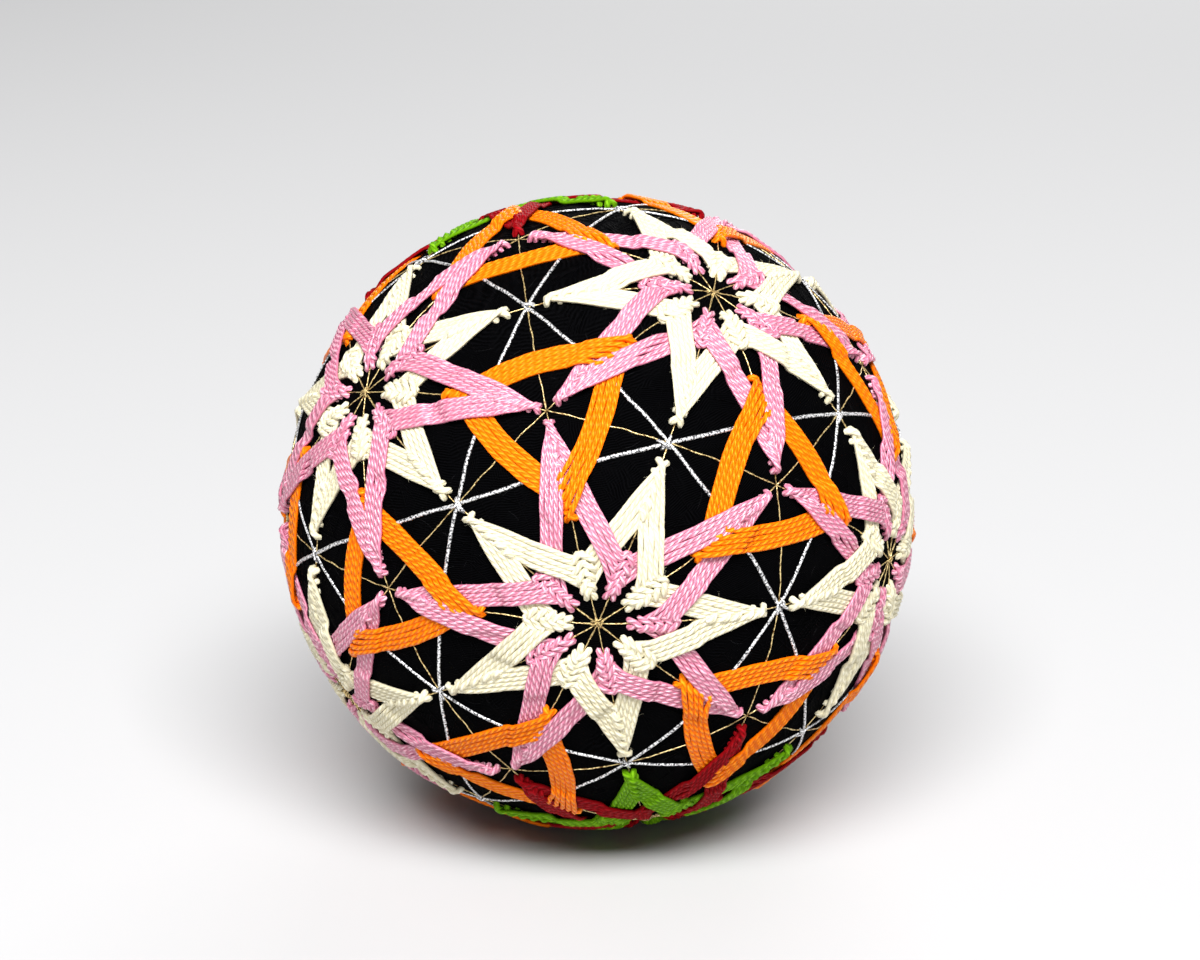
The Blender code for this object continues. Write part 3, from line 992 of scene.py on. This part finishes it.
def twist_group():
    """Marks on a two-ply thread, from its UV place round it (turns) and along it (mm). Seen from
    outside, ply one is a round rod whose middle turns about the thread's, and ply two is opposite.
    Each stands at its middle's height plus the root of its radius squared less its offset squared.
    The higher one shows, the groove is where both are equally high, and the crown is the higher
    one's height with fine streaks of fibre. The cotton paints shade into the groove and a highlight
    onto the crown."""
    group = bpy.data.node_groups.new("two_ply_twist", "ShaderNodeTree")
    given = {
        "Twist Length": TWO_PLY["length"] * MM_IN_METRE,
        "Streaks": STREAKS_ROUND,
        "Streak Length": STREAKS_PER_MM,
    }
    for label, value in given.items():
        socket = group.interface.new_socket(label, in_out="INPUT", socket_type="NodeSocketFloat")
        socket.default_value = value
    for label in ("Groove", "Crown", "Height"):
        group.interface.new_socket(label, in_out="OUTPUT", socket_type="NodeSocketFloat")
    new = add_nodes(
        group,
        given="NodeGroupInput",
        given_back="NodeGroupOutput",
        strand="ShaderNodeUVMap",
        split="ShaderNodeSeparateXYZ",
        groove="ShaderNodeMapRange",
        both="ShaderNodeMapRange",
        crown="ShaderNodeMapRange",
        tone="ShaderNodeAttribute",
        stretch="ShaderNodeCombineXYZ",
        streaks="ShaderNodeTexNoise",
    )
    new["strand"].uv_map = "strand"
    round_it, along_it = new["split"].outputs["X"], new["split"].outputs["Y"]
    turn_angle = worked(group, "MULTIPLY", round_it, 2.0 * np.pi)
    ply_turns = worked(group, "DIVIDE", along_it, new["given"].outputs["Twist Length"])
    ply_angle = worked(group, "MULTIPLY", ply_turns, 2.0 * np.pi)
    across = worked(group, "COSINE", turn_angle)
    up = worked(group, "ABSOLUTE", worked(group, "SINE", turn_angle))
    offset = worked(group, "MULTIPLY", worked(group, "COSINE", ply_angle), PLY_OFFSET)
    height = worked(group, "MULTIPLY", worked(group, "SINE", ply_angle), PLY_OFFSET)
    tops, rooms = [], []
    for side in (-1.0, 1.0):
        away = worked(group, "MULTIPLY_ADD", offset, side, across)
        room = worked(group, "SUBTRACT", PLY_RADIUS**2, worked(group, "MULTIPLY", away, away))
        rise = worked(group, "SQRT", worked(group, "MAXIMUM", room, 0.0))
        tops.append(worked(group, "MULTIPLY_ADD", height, -side, rise))
        rooms.append(room)
    gap = worked(group, "ABSOLUTE", worked(group, "SUBTRACT", *tops))
    new["groove"].interpolation_type = "SMOOTHSTEP"
    values = [
        ("groove", "From Max", GROOVE_WIDTH),
        ("groove", "To Min", 1.0),
        ("groove", "To Max", 0.0),
        ("both", "From Max", GROOVE_FLANK),
        ("crown", "From Min", PLY_RADIUS - PLY_VALLEY),
        ("crown", "From Max", PLY_RADIUS + PLY_OFFSET),
        ("streaks", "Scale", 1.0),
        ("streaks", "Detail", 3.0),
    ]
    set_inputs(new, values)
    # Painted shade goes where this groove mask is high, between the plies
    painted_groove_shade = worked(group, "MULTIPLY", new["groove"].outputs["Result"], new["both"].outputs["Result"])
    top = worked(group, "MAXIMUM", *tops)
    relief = worked(group, "MULTIPLY", worked(group, "SUBTRACT", top, up), up)
    new["tone"].attribute_name = "tone"
    round_streaks = worked(group, "MULTIPLY", round_it, new["given"].outputs["Streaks"])
    long_streaks = worked(group, "MULTIPLY", along_it, new["given"].outputs["Streak Length"])
    fibre = new["streaks"].outputs["Fac"]
    # The crown mask is high where a ply stands highest, where the cotton paints a highlight, mixed with
    # the fibres' own streaks
    streaky = worked(group, "MULTIPLY_ADD", fibre, STREAK_SHARE, CROWN_SHIFT)
    crown = worked(group, "MULTIPLY_ADD", new["crown"].outputs["Result"], CROWN_SHARE, streaky)
    raised = worked(group, "MULTIPLY_ADD", fibre, STREAK_RELIEF, relief)
    feeds = [
        (new["strand"].outputs["UV"], "split", "Vector"),
        (gap, "groove", "Value"),
        (worked(group, "MINIMUM", *rooms), "both", "Value"),
        (top, "crown", "Value"),
        (round_streaks, "stretch", "X"),
        (long_streaks, "stretch", "Y"),
        (new["tone"].outputs["Fac"], "stretch", "Z"),
        (new["stretch"].outputs["Vector"], "streaks", "Vector"),
        (painted_groove_shade, "given_back", "Groove"),
        (crown, "given_back", "Crown"),
        (raised, "given_back", "Height"),
    ]
    for output, name, socket in feeds:
        group.links.new(output, new[name].inputs[socket])
    return group


def cotton_material(name, painted_groove_shade, body, light, shine, gloss):
    """Dyed cotton, with painted shade in the groove between the plies and a painted highlight that
    makes their crowns lighter, and each thread a little lighter or darker than the next."""
    material, tree, shader = new_material(name)
    new = add_nodes(
        tree,
        twist="ShaderNodeGroup",
        crown="ShaderNodeValToRGB",
        tone="ShaderNodeAttribute",
        shift="ShaderNodeMapRange",
        lot="ShaderNodeHueSaturation",
        depth="ShaderNodeMath",
        groove="ShaderNodeMix",
        rough="ShaderNodeMapRange",
        bump="ShaderNodeBump",
    )
    new["twist"].node_tree = twist
    new["shader"] = shader
    # Painted highlight: the ramp runs from the dyed body colour up to the light colour on the plies'
    # crowns
    set_ramp(new["crown"], (0.15, body), (0.80, light))
    new["tone"].attribute_name = "tone"
    new["depth"].operation = "MULTIPLY"
    new["groove"].data_type = "RGBA"
    values = [
        ("shader", "Sheen Weight", gloss["sheen"]),
        ("shader", "Sheen Roughness", 0.35),
        ("shader", "Specular IOR Level", gloss["specular"]),
        ("shader", "Specular Tint", (*shine, 1.0)),
        ("shift", "From Min", -1.0),
        ("shift", "To Min", 0.92),
        ("shift", "To Max", 1.06),
        # Painted shade: the groove colour darkens the thread between its plies
        ("depth", 1, gloss["groove"]),
        ("groove", "B", (*painted_groove_shade, 1.0)),
        ("rough", "To Min", gloss["roughness"] + 0.08),
        ("rough", "To Max", gloss["roughness"] - 0.08),
        ("bump", "Distance", gloss["relief"] * THREAD_WIDTH / 2),
    ]
    set_inputs(new, values)
    links = [
        ("twist", "Crown", "crown", "Fac"),
        ("tone", "Fac", "shift", "Value"),
        ("shift", "Result", "lot", "Value"),
        ("crown", "Color", "lot", "Color"),
        ("lot", "Color", "groove", "A"),
        ("twist", "Groove", "depth", 0),
        ("depth", "Value", "groove", "Factor"),
        ("twist", "Crown", "rough", "Value"),
        ("twist", "Height", "bump", "Height"),
        ("groove", "Result", "shader", "Base Color"),
        ("rough", "Result", "shader", "Roughness"),
        ("bump", "Normal", "shader", "Normal"),
    ]
    link_nodes(tree, new, links)
    return material


# A finish's groove is how far the painted groove shade darkens the cotton between its plies
WOOLLY = {"roughness": 0.70, "specular": 0.35, "sheen": 0.05, "groove": 0.5, "relief": 0.6}
DULL = {"roughness": 0.60, "specular": 0.15, "sheen": 0.0, "groove": 0.8, "relief": 0.8}
GLOSSY = {"roughness": 0.30, "specular": 1.0, "sheen": 0.0, "groove": 0.8, "relief": 0.9}
SATIN = {"roughness": 0.36, "specular": 0.5, "sheen": 0.0, "groove": 0.8, "relief": 0.9}
# Each cotton's body is its dye. The colour mixed into the groove between the plies is painted shade,
# and the light one on their crowns is a painted highlight
COLOURS = {
    "cream": {"painted_groove_shade": (0.50, 0.39, 0.20), "body": (0.69, 0.63, 0.43), "light": (0.84, 0.80, 0.64)},
    "green": {"painted_groove_shade": (0.05, 0.06, 0.001), "body": (0.10, 0.27, 0.001), "light": (0.20, 0.46, 0.01)},
    "pink": {"painted_groove_shade": (0.50, 0.07, 0.15), "body": (0.64, 0.18, 0.29), "light": (0.86, 0.52, 0.60)},
    "crimson": {"painted_groove_shade": (0.08, 0.0, 0.001), "body": (0.21, 0.001, 0.003), "light": (0.37, 0.004, 0.01)},
    "orange": {"painted_groove_shade": (0.66, 0.06, 0.0), "body": (0.90, 0.155, 0.0), "light": (1.0, 0.31, 0.008)},
}
SHINES = {
    "cream": (1.0, 1.0, 1.0),
    "green": (0.6, 1.0, 0.3),
    "pink": (1.0, 0.95, 0.97),
    "crimson": (1.0, 0.3, 0.3),
    "orange": (1.0, 0.55, 0.12),
}
FINISHES = {"cream": WOOLLY, "green": DULL, "pink": GLOSSY, "crimson": DULL, "orange": SATIN}
twist = twist_group()
for colour, cotton in COTTONS.items():
    dyed = {**COLOURS[colour], "shine": SHINES[colour], "gloss": FINISHES[colour]}
    cotton["material"] = cotton_material(colour + "_cotton", **dyed)
for name in names:
    outer, inner = ("green", "crimson") if name in POLES else ("cream", "pink")
    band_piece(f"{outer}_star_{name}", cream_stars[name], outer)
    band_piece(f"{inner}_star_{name}", pink_stars[name], inner)
for name, arms in orange_triangles.items():
    band_piece(name, arms, "orange")


# The floor and the light. A plain pale floor runs far back. The light comes from a broad soft lamp
# above the camera, a weak one behind the ball, and a card low in front that brightens the ball's
# lower half. A faint white surround fills the shadows.
FLOOR_REACH = 4.0
FLOOR_GREY = (0.505, 0.505, 0.51, 1.0)
SURROUND_STRENGTH = 0.10
LAMPS = [
    {"name": "front", "place": (0.03, -1.14, 1.64), "size": (1.85, 0.70), "power": 90.0},
    {"name": "back", "place": (0.40, 1.75, 0.90), "size": (1.2, 0.7), "power": 15.5},
    {"name": "card", "place": (0.0, -0.75, 0.07), "size": (0.9, 0.12), "power": 0.7},
]
floor_mesh = bpy.data.meshes.new("floor")
floor_corners = [(-1, -1, 0), (1, -1, 0), (1, 1, 0), (-1, 1, 0)]
floor_mesh.from_pydata(np.array(floor_corners) * FLOOR_REACH, [], [(0, 1, 2, 3)])
floor = put_in_scene("floor", floor_mesh)
floor_paint, _, floor_shader = new_material("floor_paint")
floor_shader.inputs["Base Color"].default_value = FLOOR_GREY
floor_shader.inputs["Roughness"].default_value = 0.9
floor_mesh.materials.append(floor_paint)

for lamp in LAMPS:
    light = bpy.data.lights.new(lamp["name"], "AREA")
    light.shape = "RECTANGLE"
    light.size, light.size_y = lamp["size"]
    light.energy = lamp["power"]
    holder = put_in_scene(lamp["name"], light)
    holder.location = lamp["place"]
    away = unit(np.array(lamp["place"]) - np.array([0.0, 0.0, BALL_HEIGHT]))
    holder.rotation_euler = (np.arccos(away[2]), 0.0, np.arctan2(away[1], away[0]) + np.pi / 2)
surround = bpy.data.worlds.new("surround")
surround.use_nodes = True
background = surround.node_tree.nodes["Background"]
background.inputs["Color"].default_value = (1.0, 1.0, 1.0, 1.0)
background.inputs["Strength"].default_value = SURROUND_STRENGTH
bpy.context.scene.world = surround
bpy.context.scene.view_settings.view_transform = "Standard"
